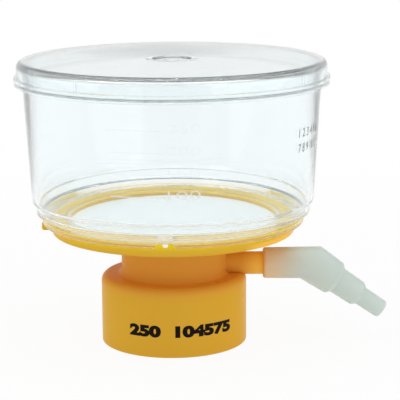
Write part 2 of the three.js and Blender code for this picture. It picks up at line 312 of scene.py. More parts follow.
# materials
def makeMaterial(name, finish, *details):
    # a fresh material; its finish is a function that adds the nodes and returns what the output takes
    material = bpy.data.materials.new(name)
    material.use_nodes = True
    tree = material.node_tree
    tree.nodes.clear()
    place = addNode(tree, "ShaderNodeTexCoord").outputs["Object"]
    addNode(tree, "ShaderNodeOutputMaterial", finish(tree, place, *details))
    return material


def patternScale(size):
    # noise scale for features of about this many mm
    return 1 / (size * mm)


def noiseBetween(tree, place, size, low, high, detail=2.0):
    # noise seldom leaves the span from 0.3 to 0.7, so that much of it is spread from low to high
    noise = addNode(tree, "ShaderNodeTexNoise", {
        "Vector": place, "Scale": patternScale(size), "Detail": detail})
    spread = addNode(tree, "ShaderNodeMapRange", {
        "Value": noise.outputs["Fac"], "From Min": 0.3, "From Max": 0.7, "To Min": low, "To Max": high})
    return spread.outputs["Result"]


def relief(tree, place, size, depth, detail=2.0, strength=1.0, **under):
    # bumps of about that size and depth in mm, which may stand on the Normal of a coarser relief
    height = noiseBetween(tree, place, size, 0, 1, detail)
    return addNode(tree, "ShaderNodeBump", {
        "Height": height, "Distance": depth * mm, "Strength": strength, **under})


def clouded(tree, place, size, first, second, detail=2.0):
    # a colour that drifts between two hex codes, in clouds of about that many mm
    cloud = noiseBetween(tree, place, size, 0, 1, detail)
    return addNode(tree, "ShaderNodeMix", {0: cloud, 6: linear(first), 7: linear(second)},
                   data_type="RGBA").outputs[2]


def tinted(tree, colour, tints):
    # lays one tint after the other over a colour; each tint is (amount, hex code)
    for amount, code in tints:
        colour = addNode(tree, "ShaderNodeMix", {0: amount, 6: colour, 7: linear(code)},
                         data_type="RGBA").outputs[2]
    return colour


def clearPolystyrene(tree, place):
    # Crystal polystyrene, injection moulded in a polished tool: water-clear with a cool cast in its
    # edges, mirror-like, with the faint waviness that the melt leaves when it freezes and a trace of haze,
    # which turns the light that is caught in the walls a soft grey. The yellow that the lip at its foot
    # picks up from the base that it grips is painted light: a yellow tint in its colour.
    look = {"colour": "#fafeff", "clear": 0.97, "ior": 1.59, "polish": (0.005, 0.02), "waviness": 16,
            "wave": 0.003, "foot": "#eec030", "footFrom": 42.4, "footTo": 46.0, "footRough": 0.3,
            "shadowTint": "#fcfefe", "edgeTint": "#e2ecea", "density": 9.0}
    height = addNode(tree, "ShaderNodeSeparateXYZ", {0: place}).outputs["Z"]
    # painted light: the yellow tint of the foot, strongest at the lip's bottom
    foot = addNode(tree, "ShaderNodeMapRange", {
        "Value": height, "From Min": look["footTo"] * mm, "From Max": look["footFrom"] * mm})
    rough = addNode(tree, "ShaderNodeMath", {
        0: foot, 1: look["footRough"], 2: noiseBetween(tree, place, 9, *look["polish"])},
        operation="MULTIPLY_ADD")
    glass = addNode(tree, "ShaderNodeBsdfPrincipled", {
        "Base Color": tinted(tree, linear(look["colour"]), [(foot, look["foot"])]), "IOR": look["ior"],
        "Transmission Weight": look["clear"], "Roughness": rough,
        "Normal": relief(tree, place, look["waviness"], look["wave"], 1.0)})
    # lamps reach what is inside the funnel
    ray = addNode(tree, "ShaderNodeLightPath")
    passing = addNode(tree, "ShaderNodeBsdfTransparent", {"Color": linear(look["shadowTint"])})
    mixed = addNode(tree, "ShaderNodeMixShader", {0: ray.outputs["Is Shadow Ray"], 1: glass, 2: passing})
    dye = addNode(tree, "ShaderNodeVolumeAbsorption", {
        "Color": linear(look["edgeTint"]), "Density": look["density"]})
    return {"Surface": mixed, "Volume": dye}


def yellowPolystyrene(tree, place):
    # Opaque yellow polystyrene, injection moulded, with a soft gloss. Its colour holds painted light and
    # shade
    # by height and along the arm: the shaded neck and the collar's top under the flange are painted orange,
    # the land at the top is painted paler than the thick walls, and the thin arm is painted lighter towards
    # its end.
    look = {"flow": "#e6a431", "arm": "#ffc552", "armFrom": 12, "armTo": 20, "armTop": 41, "top": 44,
            "levels": ((0, "#e6b43a"), (19, "#e6b43a"), (24, "#e7a040"), (36, "#e8a440"), (39.3, "#dfb038"),
                       (41, "#e6be3c"), (43.5, "#ffe620"))}
    spot = addNode(tree, "ShaderNodeSeparateXYZ", {0: place})
    share = addNode(tree, "ShaderNodeMapRange", {"Value": spot.outputs["Z"], "From Max": look["top"] * mm})
    # painted shade and light by height: orange stops where shade falls under the flange, pale lemon on the
    # land
    levels = addNode(tree, "ShaderNodeValToRGB", {"Fac": share})
    stops = levels.color_ramp.elements
    for k, (level, code) in enumerate(look["levels"]):
        stop = stops[k] if k < 2 else stops.new(level / look["top"])
        stop.position = level / look["top"]
        stop.color = linear(code)
    # painted light along the arm: below the flange its colour lightens towards its end
    outward = addNode(tree, "ShaderNodeMapRange", {
        "Value": spot.outputs["X"], "From Min": look["armFrom"] * mm, "From Max": look["armTo"] * mm},
        interpolation_type="SMOOTHSTEP")
    below = addNode(tree, "ShaderNodeMath", {0: spot.outputs["Z"], 1: look["armTop"] * mm},
                    operation="LESS_THAN")
    arm = addNode(tree, "ShaderNodeMath", {0: outward, 1: below}, operation="MULTIPLY")
    flow = noiseBetween(tree, place, 34, 0, 0.3, 1.0)
    grain = relief(tree, place, 0.5, 0.0015, strength=0.5, Normal=relief(tree, place, 11, 0.012, 1.0))
    return {"Surface": addNode(tree, "ShaderNodeBsdfPrincipled", {
        "Base Color": tinted(tree, levels, [(flow, look["flow"]), (arm, look["arm"])]),
        "Roughness": noiseBetween(tree, place, 7, 0.26, 0.34), "IOR": 1.4, "Normal": grain,
        "Specular IOR Level": 0.04})}


def naturalPolyethylene(tree, place):
    # Uncoloured polyethylene, moulded: milky and waxy. Light goes through its thin walls; the yellow arm's
    # glow inside the socket and the warm rim at the mouth are painted light, a warm tint in its colour.
    look = {"glow": "#ffebcd", "rim": "#ffd494", "mouth": 20.8, "rimEnd": 22.2, "armEnd": 36, "thin": 0.4}
    # painted light: a warm glow tint runs from the arm's end to the mouth, and a deeper tint paints the
    # mouth's rim
    along = addNode(tree, "ShaderNodeSeparateXYZ", {0: place}).outputs["X"]
    inside = addNode(tree, "ShaderNodeMapRange", {
        "Value": along, "From Min": look["armEnd"] * mm, "From Max": look["mouth"] * mm},
        interpolation_type="SMOOTHSTEP")
    edge = addNode(tree, "ShaderNodeMapRange", {
        "Value": along, "From Min": look["rimEnd"] * mm, "From Max": look["mouth"] * mm})
    colour = tinted(tree, clouded(tree, place, 14, "#ecf4f0", "#e7f0eb", 1.0),
                    [(inside, look["glow"]), (edge, look["rim"])])
    grain = relief(tree, place, 0.4, 0.002, strength=0.6, Normal=relief(tree, place, 6, 0.015, 1.0))
    plastic = addNode(tree, "ShaderNodeBsdfPrincipled", {
        "Base Color": colour, "Roughness": noiseBetween(tree, place, 3, 0.34, 0.44), "IOR": 1.51,
        "Normal": grain, "Subsurface Weight": 0.8, "Subsurface Radius": (1.0, 0.9, 0.8),
        "Subsurface Scale": 1.2 * mm})
    glow = addNode(tree, "ShaderNodeBsdfTranslucent", {"Color": colour, "Normal": grain})
    return {"Surface": addNode(tree, "ShaderNodeMixShader", {0: look["thin"], 1: plastic, 2: glow})}


def membraneFilm(tree, place):
    # Cast polyethersulfone membrane: paper-white and matt, with faint clouds and a fine pore grain that
    # is drawn far coarser than the real pores, so that it shows.
    pores = relief(tree, place, 0.35, 0.012, 3.0, 0.8, Normal=relief(tree, place, 12, 0.06, 1.0))
    return {"Surface": addNode(tree, "ShaderNodeBsdfPrincipled", {
        "Base Color": clouded(tree, place, 16, "#e9ebea", "#e5e8e7", 4.0), "Roughness": 0.85,
        "Normal": pores, "Specular IOR Level": 0.3, "Subsurface Weight": 0.2,
        "Subsurface Radius": (1, 1, 1), "Subsurface Scale": 0.3 * mm})}


def siliconeRubber(tree, place):
    # White silicone rubber, moulded: matt with a soft sheen and a slight dusting.
    return {"Surface": addNode(tree, "ShaderNodeBsdfPrincipled", {
        "Base Color": clouded(tree, place, 4, "#f3f2ed", "#e9e7e0", 4.0), "IOR": 1.41,
        "Roughness": noiseBetween(tree, place, 2, 0.6, 0.8, 3.0), "Normal": relief(tree, place, 0.6, 0.01)})}


def pressedFibre(tree, place):
    # Pressed polyester fibre: a matt, fuzzy felt whose strands run every way.
    strands = addNode(tree, "ShaderNodeTexWave", {
        "Vector": place, "Scale": patternScale(0.5), "Distortion": 14.0, "Detail": 3.0,
        "Detail Scale": 2.0}).outputs["Fac"]
    felt = addNode(tree, "ShaderNodeBump", {"Height": strands, "Distance": 0.08 * mm})
    return {"Surface": addNode(tree, "ShaderNodeBsdfPrincipled", {
        "Base Color": tinted(tree, linear("#f8f7f2"), [(strands, "#dedcd3")]), "Roughness": 1.0,
        "Normal": felt, "Sheen Weight": 0.4})}


def bakedInk(tree, place, first, second):
    # Pad-printed or jetted ink, baked: nearly matt, a little uneven in its colour and thickness.
    return {"Surface": addNode(tree, "ShaderNodeBsdfPrincipled", {
        "Base Color": clouded(tree, place, 0.8, first, second, 4.0), "Specular IOR Level": 0.12,
        "Roughness": noiseBetween(tree, place, 1.2, 0.5, 0.7), "Normal": relief(tree, place, 0.3, 0.004)})}


def frostedPolystyrene(tree, place):
    # Crystal polystyrene with a spark-eroded, frosted face, as raised scale marks have: it scatters a
    # part of the light, so it reads as pale marks on the clear wall. The upper marks are fainter: their
    # cover thins upwards.
    look = {"fadeUpwardFrom": 62.7, "fadeUpwardTo": 67, "left": 0.05, "cover": (0.42, 0.58)}
    height = addNode(tree, "ShaderNodeSeparateXYZ", {0: place}).outputs["Z"]
    fadeUpward = addNode(tree, "ShaderNodeMapRange", {
        "Value": height, "From Min": look["fadeUpwardFrom"] * mm, "From Max": look["fadeUpwardTo"] * mm,
        "To Min": 1.0, "To Max": look["left"]})
    cover = addNode(tree, "ShaderNodeMath", {0: fadeUpward, 1: noiseBetween(tree, place, 1.5, *look["cover"])},
                    operation="MULTIPLY")
    return {"Surface": addNode(tree, "ShaderNodeBsdfPrincipled", {
        "Base Color": linear("#ffffff"), "Roughness": 0.7, "IOR": 1.1, "Specular IOR Level": 0.0,
        "Normal": relief(tree, place, 0.25, 0.02, 3.0), "Alpha": cover})}


def erodedPolystyrene(tree, place):
    # Crystal polystyrene shaped by a bare insert in the mould: a rough face, so light scatters in it.
    # Its pale cream colour is painted light: the yellow glow of the lip around it.
    return {"Surface": addNode(tree, "ShaderNodeBsdfPrincipled", {
        "Base Color": linear("#fbedc2"), "IOR": 1.59, "Transmission Weight": 0.3, "Roughness": 0.4,
        "Normal": relief(tree, place, 0.2, 0.01, 3.0)})}


def brokenPolystyrene(tree, place):
    # The snapped gate: crystal polystyrene crazes white where it is torn off. Its faint white
    # emission is painted light, a glow.
    return {"Surface": addNode(tree, "ShaderNodeBsdfPrincipled", {
        "Base Color": clouded(tree, place, 0.6, "#ffffff", "#f6f1ea"), "Roughness": 0.3, "IOR": 1.59,
        "Normal": relief(tree, place, 0.3, 0.03, 3.0), "Emission Color": linear("#ffffff"),
        "Emission Strength": 0.12})}


clear = makeMaterial("mouldedClearPolystyrene", clearPolystyrene)
yellow = makeMaterial("mouldedYellowPolystyrene", yellowPolystyrene)
milky = makeMaterial("mouldedNaturalPolyethylene", naturalPolyethylene)
film = makeMaterial("castFilterMembrane", membraneFilm)
silicone = makeMaterial("mouldedWhiteSilicone", siliconeRubber)
fibre = makeMaterial("pressedPolyesterFibre", pressedFibre)
blackInk = makeMaterial("padPrintedBlackInk", bakedInk, "#0b0604", "#140c07")
greyInk = makeMaterial("jetPrintedGreyInk", bakedInk, "#6b6d6f", "#8e9092")
frosted = makeMaterial("frostedClearPolystyrene", frostedPolystyrene)
cutFace = makeMaterial("roughClearPolystyrene", erodedPolystyrene)
crazedWithPaintedGlow = makeMaterial("stressWhitenedPolystyreneWithPaintedGlow", brokenPolystyrene)
print("materials made")

# levels and radii that several pieces share, read off the CAD nodes
seatGap = 0.3
membraneLow, membraneHigh = boxOf("membrane")
baseLow, baseHigh = boxOf("filter_base")
funnelLow, funnelHigh = boxOf("funnel")
lidLow, lidHigh = boxOf("lid")
sealLow, sealHigh = boxOf("bottle_seal")
plugLow, plugHigh = boxOf("arm_plug")
adapterLow, adapterHigh = boxOf("hose_adapter")
membraneRadius = membraneHigh.y
seatLevel = membraneLow.z - seatGap
landTop = baseHigh.z
flangeRadius = baseHigh.y
landWidth = 4.2
landInner = flangeRadius - landWidth
armLevel = (plugLow.z + plugHigh.z) / 2


# clear lid
lidSizes = {
    "wall": 1.0,
    "panel": 1.5,
    "bandHeight": 2.7,
    "bandStep": 0.9,
    "innerBand": 1.5,
    "edge": 2.2,
    "innerEdge": 1.3,
    "guideDrop": 0.9,
    "bandEdge": 0.25,
    "dish": 6.9,
    "dishDepth": 0.8,
    "dishSlope": 0.6,
    "underIn": 1.0,  # the panel's underside dips more gently than its top
    "underOut": 2.2,
    "guides": 4,
    "guideAngle": -125,
    "guideWidth": 1,
    "guideHeight": 3.3,
}


def makeLid(s):
    top, low, band = lidHigh.z, lidLow.z, lidHigh.y
    under = top - s["panel"]
    outer = band - s["bandStep"]
    inner = outer - s["wall"]
    piece = turned("clearLid", [
        (0, under - s["dishDepth"]),
        (s["dish"] - s["underIn"], under - s["dishDepth"], 0.15),
        (s["dish"] + s["underOut"], under, 0.15),
        (inner, under, s["innerEdge"]),
        (inner, low + s["innerBand"]),
        (inner + s["bandStep"], low + s["innerBand"] - s["bandStep"]),
        (inner + s["bandStep"], low, 0.12),
        (band, low, s["bandEdge"]),
        (band, low + s["bandHeight"], s["bandEdge"]),
        (outer, low + s["bandHeight"], 0.1),
        (outer, top, s["edge"]),
        (s["dish"], top, 0.25),
        (s["dish"] - s["dishSlope"], top - s["dishDepth"], 0.25),
        (0, top - s["dishDepth"]),
    ], clear, 256)
    guideTop = under - s["guideDrop"]
    rim = funnelHigh.y + seatGap
    half = s["guideWidth"] / 2
    guide = blockMesh("lidGuide", [
        ((rim, inner + s["wall"] / 2), (-half, half), (guideTop - s["guideHeight"], guideTop))])
    combine(piece, around("lidGuides", guide, s["guides"], s["guideAngle"], clear), "UNION")
    return finishPiece(piece, "unit", ["lid"])


makeLid(lidSizes)


# clear funnel
funnelSizes = {
    "clampWidth": 1.5,
    "floor": 1.3,
    "floorFall": 0.6,  # of the floor's top towards the membrane
    "floorRise": 0.3,  # the CAD floor's underside over the base's land
    "weld": 0.02,  # how far the welded faces sink into the base and the membrane
    "rimGap": 0.6,
    "lipWall": 2.6,
    "ledge": 2.2,
    "ledgeRise": 2.3,
    "ledgeEdge": 0.6,
    "band": 3.3,
    "shoulderRise": 1.2,
    "shoulder": 1.3,
    "wall": 1.7,
    "draft": math.radians(3.27),
    "innerStep": 0.5,
    "cornerRise": 2.6,
    "cornerWidth": 2.3,
    "rimEdge": 0.8,
    "edge": 0.2,
    "notchAngle": -92.5,
    "notchWidth": 7.2,
    "notchSlope": 1.1,
    "notchHeight": 1.5,
    "notchStart": 0.3,  # how far under the lip the cut starts
    "stub": 0.8,
    "stubLength": 1.2,
    "stubInset": 0.2,
}


def funnelLevels(s):
    # heights and radii of the funnel's outside, which its marks follow too
    under = landTop + s["floorRise"]
    lipOuter = flangeRadius + s["rimGap"] + s["lipWall"]
    band = lipOuter + s["ledge"]
    shoulderLow = under + s["ledgeRise"] + s["band"]
    shoulderHigh = shoulderLow + s["shoulderRise"]
    shoulder = band + s["shoulder"]
    return {"under": under, "lipOuter": lipOuter, "band": band, "shoulderLow": shoulderLow,
            "shoulderHigh": shoulderHigh, "shoulder": shoulder,
            "rim": shoulder + (funnelHigh.z - shoulderHigh) * math.tan(s["draft"])}


def makeNotchTool(s, lipInner):
    # a bar with a trapezoid section, wider at the bottom, that crosses the lip and starts below it
    half, slope, low = s["notchWidth"] / 2, s["notchSlope"], funnelLow.z
    spread = slope / s["notchHeight"] * s["notchStart"]
    start = lipInner - s["rimGap"]
    section = [(start, -half - spread, low - s["notchStart"]), (start, half + spread, low - s["notchStart"]),
               (start, half - slope, low + s["notchHeight"]), (start, -half + slope, low + s["notchHeight"])]
    mesh = barMesh("notchTool", section, (s["lipWall"] + 2 * s["rimGap"], 0, 0))
    return around("notchTool", mesh, 1, s["notchAngle"], cutFace)


def makeFunnel(s):
    at = funnelLevels(s)
    clampInner = membraneRadius - s["clampWidth"]
    clampLow = membraneHigh.z - s["weld"]
    clampOuter = landInner + s["weld"]
    weldedFloor = landTop - s["weld"]
    floorTop = at["under"] + s["floor"]
    lipInner = flangeRadius + s["rimGap"]
    ledge = at["under"] + s["ledgeRise"]
    innerBand = at["band"] - s["wall"]
    piece = turned("clearFunnel", [
        (clampInner, clampLow),
        (clampOuter, clampLow),
        (clampOuter, weldedFloor),
        (lipInner, weldedFloor, 0.1),
        (lipInner, funnelLow.z, 0.15),
        (at["lipOuter"], funnelLow.z, s["edge"]),
        (at["lipOuter"], ledge, s["edge"]),
        (at["band"], ledge, s["ledgeEdge"]),
        (at["band"], at["shoulderLow"], s["edge"]),
        (at["shoulder"], at["shoulderHigh"], s["edge"]),
        (at["rim"], funnelHigh.z, s["rimEdge"]),
        (at["rim"] - s["wall"], funnelHigh.z, s["rimEdge"]),
        (at["shoulder"] - s["wall"], at["shoulderHigh"] + s["innerStep"], s["edge"]),
        (innerBand, at["shoulderLow"] + s["innerStep"], s["edge"]),
        (innerBand, floorTop + s["cornerRise"], 0.5),
        (innerBand - s["cornerWidth"], floorTop, 0.5),
        (clampInner, floorTop - s["floorFall"], 0.12),
    ], clear, 256)
    combine(piece, makeNotchTool(s, lipInner), "DIFFERENCE")
    # only the notch's sloping ends are rough; its ceiling is as polished as the rest
    slots = list(piece.data.materials)
    for face in piece.data.polygons:
        if slots[face.material_index] == cutFace and abs(face.normal.z) > 0.9:
            face.material_index = slots.index(clear)
    return finishPiece(piece, "unit", ["funnel"])


def makeGateStub(s):
    # the moulding gate's stub under the notch's ceiling
    ceiling = funnelLow.z + s["notchHeight"] - s["weld"]
    centre = funnelLevels(s)["lipOuter"] - s["stub"] - s["stubInset"]
    angle = math.radians(s["notchAngle"])
    place = (axisX + centre * math.cos(angle) * mm, centre * math.sin(angle) * mm, 0.0)
    piece = turned("gateStub", [(0, ceiling - s["stubLength"]), (s["stub"], ceiling - s["stubLength"], 0.35),
                                (s["stub"], ceiling), (0, ceiling)], crazedWithPaintedGlow, 48, place)
    return finishPiece(piece, "unit")


makeFunnel(funnelSizes)
makeGateStub(funnelSizes)


# membrane, bottle seal and arm plug
def makeMembrane():
    piece = turned("filterMembrane", [
        (0, membraneLow.z),
        (membraneRadius, membraneLow.z, 0.05),
        (membraneRadius, membraneHigh.z, 0.05),
        (0, membraneHigh.z),
    ], film)
    return finishPiece(piece, "unit", ["membrane"])


def makeSeal(width=5.1, edge=0.3):
    inner, outer = sealHigh.y - width, sealHigh.y
    corners = [(inner, sealLow.z), (outer, sealLow.z), (outer, sealHigh.z), (inner, sealHigh.z)]
    piece = turned("bottleSeal", [(*corner, edge) for corner in corners], silicone)
    return finishPiece(piece, "unit", ["bottle_seal"])


def layAlongArm(piece):
    # a piece turned about its own Z axis is laid along +X at the arm's height
    lay = Matrix.Translation((axisX, 0, armLevel * mm)) @ Matrix.Rotation(math.pi / 2, 4, "Y")
    piece.data.transform(lay)
    return piece


def makePlug(edge=0.4):
    radius = plugHigh.y
    piece = turned("fibrePlug", [(0, plugLow.x), (radius, plugLow.x, edge), (radius, plugHigh.x, edge),
                                 (0, plugHigh.x)], fibre, 64, origin)
    return finishPiece(layAlongArm(piece), "unit", ["arm_plug"])


makeMembrane()
makeSeal()
makePlug()


# yellow filter base
baseSizes = {
    "collarWall": 2.55,
    "collarHeight": 23.9,
    "collarEdge": 2.5,
    "collarFoot": 0.3,
    "mouthChamfer": 0.6,
    "neck": 18.25,
    "neckWall": 1.8,
    "neckHeight": 15.4,
    "neckFillet": 0.7,
    "neckFoot": 1.8,
    "flangeEdge": 0.4,
    "landEdge": 0.2,
    "coreInset": 0.6,
    "coreWidth": 2,
    "coreDepth": 2.9,
    "coreDraft": 0.2,
    "seatWidth": 2,
    "drainDepth": 0.9,
    "drainFall": 0.4,
    "outletBore": 2.6,
    "outletWall": 1.6,
    "outletTaper": 0.6,
    "outletDrop": 2.3,
    "countersink": 1.6,
    "ribs": 16,
    "ribWidth": 1,
    "ribRoot": 0.1,  # how far the ribs sink into the drain field
    "longRib": 6.5,
    "shortRib": 17,
    "channels": (14, 25),
    "channelWidth": 1.6,
    "lugWidth": 9,
    "lugHeight": 2.6,
    "lugRoot": 2,
    "lugEdge": 0.8,
    "armBore": 2.4,
    "armEndGap": 9.5,  # the arm reaches this far into the adapter
    "armRadius": 4,
    "armFlare": 0.9,
    "armChamfer": 0.5,
    "armBury": 0.3,  # how far the arm starts inside the middle of the neck's wall
    "armFillet": 0.98,  # share of the flare that its fillet takes
}

threadSizes = {
    "pitch": 4,
    "turns": 2.4,
    "start": 4.5,
    "depth": 1.1,
    "root": 2.4,
    "crest": 1.0,
    "bury": 0.25,
    "fade": 0.09,
    "endSize": 0.05,  # share of the section that is left at the thread's ends
    "facets": 96,
}


def makeBaseBody(s):
    bore = sealHigh.y + seatGap
    collar = bore + s["collarWall"]
    web = sealHigh.z + seatGap
    flangeLow = s["collarHeight"] + s["neckHeight"]
    neckBore = s["neck"] - s["neckWall"]
    outlet = s["outletBore"] + s["outletWall"]
    drain = landInner - s["seatWidth"]
    drainLow = seatLevel - s["drainDepth"] - s["drainFall"]
    core = landInner + s["coreInset"]
    coreTop = flangeLow + s["coreDepth"]
    return turned("yellowBase", [
        (s["outletBore"], web - s["outletDrop"], 0.2),
        (outlet, web - s["outletDrop"], 0.3),
        (outlet + s["outletTaper"], flangeLow, s["neckFillet"]),
        (neckBore, flangeLow, s["neckFillet"]),
        (neckBore, web, 0.3),
        (bore, web, 0.3),
        (bore, s["mouthChamfer"]),
        (bore + s["mouthChamfer"], 0),
        (collar, 0, s["collarFoot"]),
        (collar, s["collarHeight"], s["collarEdge"]),
        (s["neck"], s["collarHeight"], s["neckFoot"]),
        (s["neck"], flangeLow, s["neckFillet"]),
        (core, flangeLow, 0.15),
        (core + s["coreDraft"], coreTop, 0.3),
        (core + s["coreWidth"] - s["coreDraft"], coreTop, 0.3),
        (core + s["coreWidth"], flangeLow, 0.15),
        (flangeRadius, flangeLow, s["flangeEdge"]),
        (flangeRadius, landTop, s["landEdge"]),
        (landInner, landTop, 0.15),
        (landInner, seatLevel, 0.12),
        (drain, seatLevel, 0.12),
        (drain, seatLevel - s["drainDepth"], 0.3),
        (s["outletBore"] + s["countersink"], drainLow, 0.3),
        (s["outletBore"], drainLow - s["countersink"], 0.3),
    ], yellow, 240)


def addDrainRibs(piece, s):
    # long and short radial ribs under the membrane, broken where the ring channels run
    end = landInner - s["seatWidth"] / 2
    low = seatLevel - s["drainDepth"] - s["drainFall"] - s["ribRoot"]
    half = s["ribWidth"] / 2
    for name, start, turn in (("longRibs", s["longRib"], 0), ("shortRibs", s["shortRib"], 180 / s["ribs"])):
        spans, here = [], start
        for channel in s["channels"]:
            if channel > start:
                spans.append(((here, channel), (-half, half), (low, seatLevel)))
                here = channel + s["channelWidth"]
        spans.append(((here, end), (-half, half), (low, seatLevel)))
        combine(piece, around(name, blockMesh(name, spans), s["ribs"], turn, yellow), "UNION")


def addLug(piece, s):
    # lug under the funnel's lip, on the side away from the arm
    top = funnelLow.z - seatGap
    inner, outer = -flangeRadius + s["lugRoot"], baseLow.x
    side = outline([(inner, top - s["lugHeight"]), (inner, top), (outer, top, 0.3),
                    (outer, top - s["lugHeight"], s["lugEdge"])])
    mesh = barMesh("rimLug", [(p.x, -s["lugWidth"] / 2, p.y) for p in side], (0, s["lugWidth"], 0))
    combine(piece, around("rimLug", mesh, 1, 0, yellow), "UNION")


def armBar(name, radius, start, end, chamfer, root=()):
    piece = turned(name, [(0, start), *(root or ((radius, start),)), (radius, end - chamfer, 0.2),
                          (radius - chamfer, end, 0.2), (0, end)], yellow, 96, origin)
    return layAlongArm(piece)


def addArm(piece, s):
    start = s["neck"] - s["neckWall"] / 2 - s["armBury"]
    end = adapterLow.x + s["armEndGap"]
    # the arm's root flares softly into the neck
    flare, radius = s["armFlare"], s["armRadius"]
    foot = math.sqrt(s["neck"] ** 2 - (radius + flare) ** 2)
    root = ((radius + flare, start), (radius + flare, foot), (radius, foot, flare * s["armFillet"]))
    combine(piece, armBar("arm", radius, start, end, s["armChamfer"], root), "UNION")
    bore = armBar("armBore", s["armBore"], s["neck"] - 2 * s["neckWall"], end + s["armRadius"], 0.2)
    combine(piece, bore, "DIFFERENCE")


def addThread(piece, t):
    # inside thread of the collar, for a 45 mm bottle neck
    corners = [(t["bury"], t["root"] / 2), (t["bury"], -t["root"] / 2), (-t["depth"], -t["crest"] / 2),
               (-t["depth"], t["crest"] / 2)]
    thread = grow("collarThread", profileMesh("thread", corners, True, 0), threadTree, {
        "Facets": t["facets"], "Turns": t["turns"], "Radius": (sealHigh.y + seatGap) * mm,
        "Height": t["pitch"] * t["turns"] * mm, "Fade": t["fade"], "End Size": t["endSize"],
        "Place": (axisX, 0.0, t["start"] * mm), "Material": yellow})
    combine(piece, thread, "UNION")


def makeBase(s, t):
    piece = makeBaseBody(s)
    addDrainRibs(piece, s)
    addLug(piece, s)
    addArm(piece, s)
    addThread(piece, t)
    return finishPiece(piece, "unit", ["filter_base"])


makeBase(baseSizes, threadSizes)


# milky hose adapter
adapterSizes = {
    "socket": 4.3,
    "socketDepth": 9.8,
    "mouthChamfer": 0.3,
    "sleeveWall": 1.1,
    "flare": 0.15,
    "sleeve": 16.7,
    "sleeveEdge": 0.8,
    "passage": 2.5,
    "bend": math.radians(34.5),
    "firstLength": 9.9,
    "barbs": ((4.75, 4.55, 8.6), (3.35, 3.2, 9.17)),  # radius at the start and the end, length
    "lead": 1.5,
    "tipEdge": 0.8,
    "tipBore": 1.9,
    "rings": 12,
}


def bendDown(piece, s):
    # past the sleeve the section starts as an ellipse and grows round again over the first barb
    stretch = 1 / math.cos(s["bend"])
    cosine, sine = math.cos(s["bend"]), math.sin(s["bend"])
    for vertex in piece.data.vertices:
        past = vertex.co.z / mm - s["sleeve"]
        if past > -0.001:  # the ring at the sleeve's end bends too
            share = min(max(past / s["firstLength"], 0), 1)
            upright = -vertex.co.x / mm * (stretch + (1 - stretch) * share)
            vertex.co.z = (s["sleeve"] + past * cosine + upright * sine) * mm
            vertex.co.x = -(upright * cosine - past * sine) * mm
    place = Matrix.Translation((axisX + adapterLow.x * mm, 0, armLevel * mm))
    piece.data.transform(place @ Matrix.Rotation(math.pi / 2, 4, "Y"))
    return piece


def growingRun(s, root, end):
    # the first barb, in rings close enough to take the bend
    return [(root + (end - root) * k / s["rings"], s["sleeve"] + s["firstLength"] * k / s["rings"])
            for k in range(s["rings"] + 1)]


def makeAdapter(s):
    sleeve, socket, chamfer = s["socket"] + s["sleeveWall"], s["socket"], s["mouthChamfer"]
    steps, along = [], s["sleeve"] + s["firstLength"]
    for start, end, length in s["barbs"]:
        steps += [(start, along + s["lead"], 0.25), (end, along + s["lead"] + length, 0.3)]
        along += s["lead"] + length
    steps[-1] = (*steps[-1][:2], s["tipEdge"])
    body = turned("milkyAdapter", [
        (0, 0), (sleeve, 0, s["sleeveEdge"]), *growingRun(s, sleeve + s["flare"], adapterHigh.y), *steps,
        (0, along)], milky, 128, origin)
    hollow = turned("adapterHollow", [
        (0, -chamfer), (socket + 2 * chamfer, -chamfer), (socket, chamfer, 0.2),
        (socket, s["socketDepth"], 0.3), (s["passage"], s["socketDepth"], 0.3),
        *growingRun(s, s["passage"], s["passage"]), (s["tipBore"], along + s["tipEdge"]),
        (0, along + s["tipEdge"])], milky, 96, origin)
    piece = combine(bendDown(body, s), bendDown(hollow, s), "DIFFERENCE")
    return finishPiece(piece, "hose_adapter", ["hose_adapter"])


makeAdapter(adapterSizes)


# marks: raised scale on the wall, plain printed digits on the collar and the wall
# sizes are in mm, and a mark runs from one angle to another, in degrees right of the front
collarPrint = {"words": "250  104575", "from": -35.7, "to": 49.7, "low": 7.0, "height": 4.3, "relief": 0.02,
               "lift": 0.005, "weight": 0.065, "step": 0.6}
wallPrint = {"rows": ("1 2 3 4 5 6", "7 8 9 10 11"), "from": 56.6, "to": 75, "low": 70.6, "height": 2.9,
             "pitch": 5.1, "relief": 0.02, "lift": 0.005, "weight": 0.0, "step": 0.8}
scaleNumbers = {"numbers": ("100", "150", "200", "250"), "from": -1, "to": 11.2, "low": 59.7, "height": 2.9,
                "pitch": 7.2, "relief": 0.06, "lift": 0.01, "weight": -0.01, "step": 0.8}
scaleTicks = {"from": -23, "to": -2.1, "rise": 0.5, "height": 0.4, "relief": 0.06, "lift": 0.01, "step": 1}


def wallRadius(height):
    at = funnelLevels(funnelSizes)
    return at["shoulder"] + (height - at["shoulderHigh"]) * math.tan(funnelSizes["draft"])


def collarRadius(height):
    # the collar is straight, so its height doesn't matter
    return sealHigh.y + seatGap + baseSizes["collarWall"]


def textMesh(words, width, s):
    # flat text, stretched to its width, height and relief in mm
    curve = bpy.data.curves.new("words", "FONT")
    curve.body = words
    curve.offset = s["weight"]
    curve.extrude = 0.1  # any depth does, as it is stretched below
    curve.resolution_u = 6
    holder = bpy.data.objects.new("words", curve)
    sceneNow.collection.objects.link(holder)
    mesh = bpy.data.meshes.new_from_object(holder.evaluated_get(bpy.context.evaluated_depsgraph_get()))
    bpy.data.objects.remove(holder)
    work = bmesh.new()
    work.from_mesh(mesh)
    bmesh.ops.remove_doubles(work, verts=work.verts, dist=1e-5)
    lows = [min(v.co[i] for v in work.verts) for i in range(3)]
    highs = [max(v.co[i] for v in work.verts) for i in range(3)]
    for vertex in work.verts:
        for i, size in enumerate((width, s["height"], s["relief"])):
            vertex.co[i] = (vertex.co[i] - lows[i]) / (highs[i] - lows[i]) * size
    return keepMesh(work, mesh)


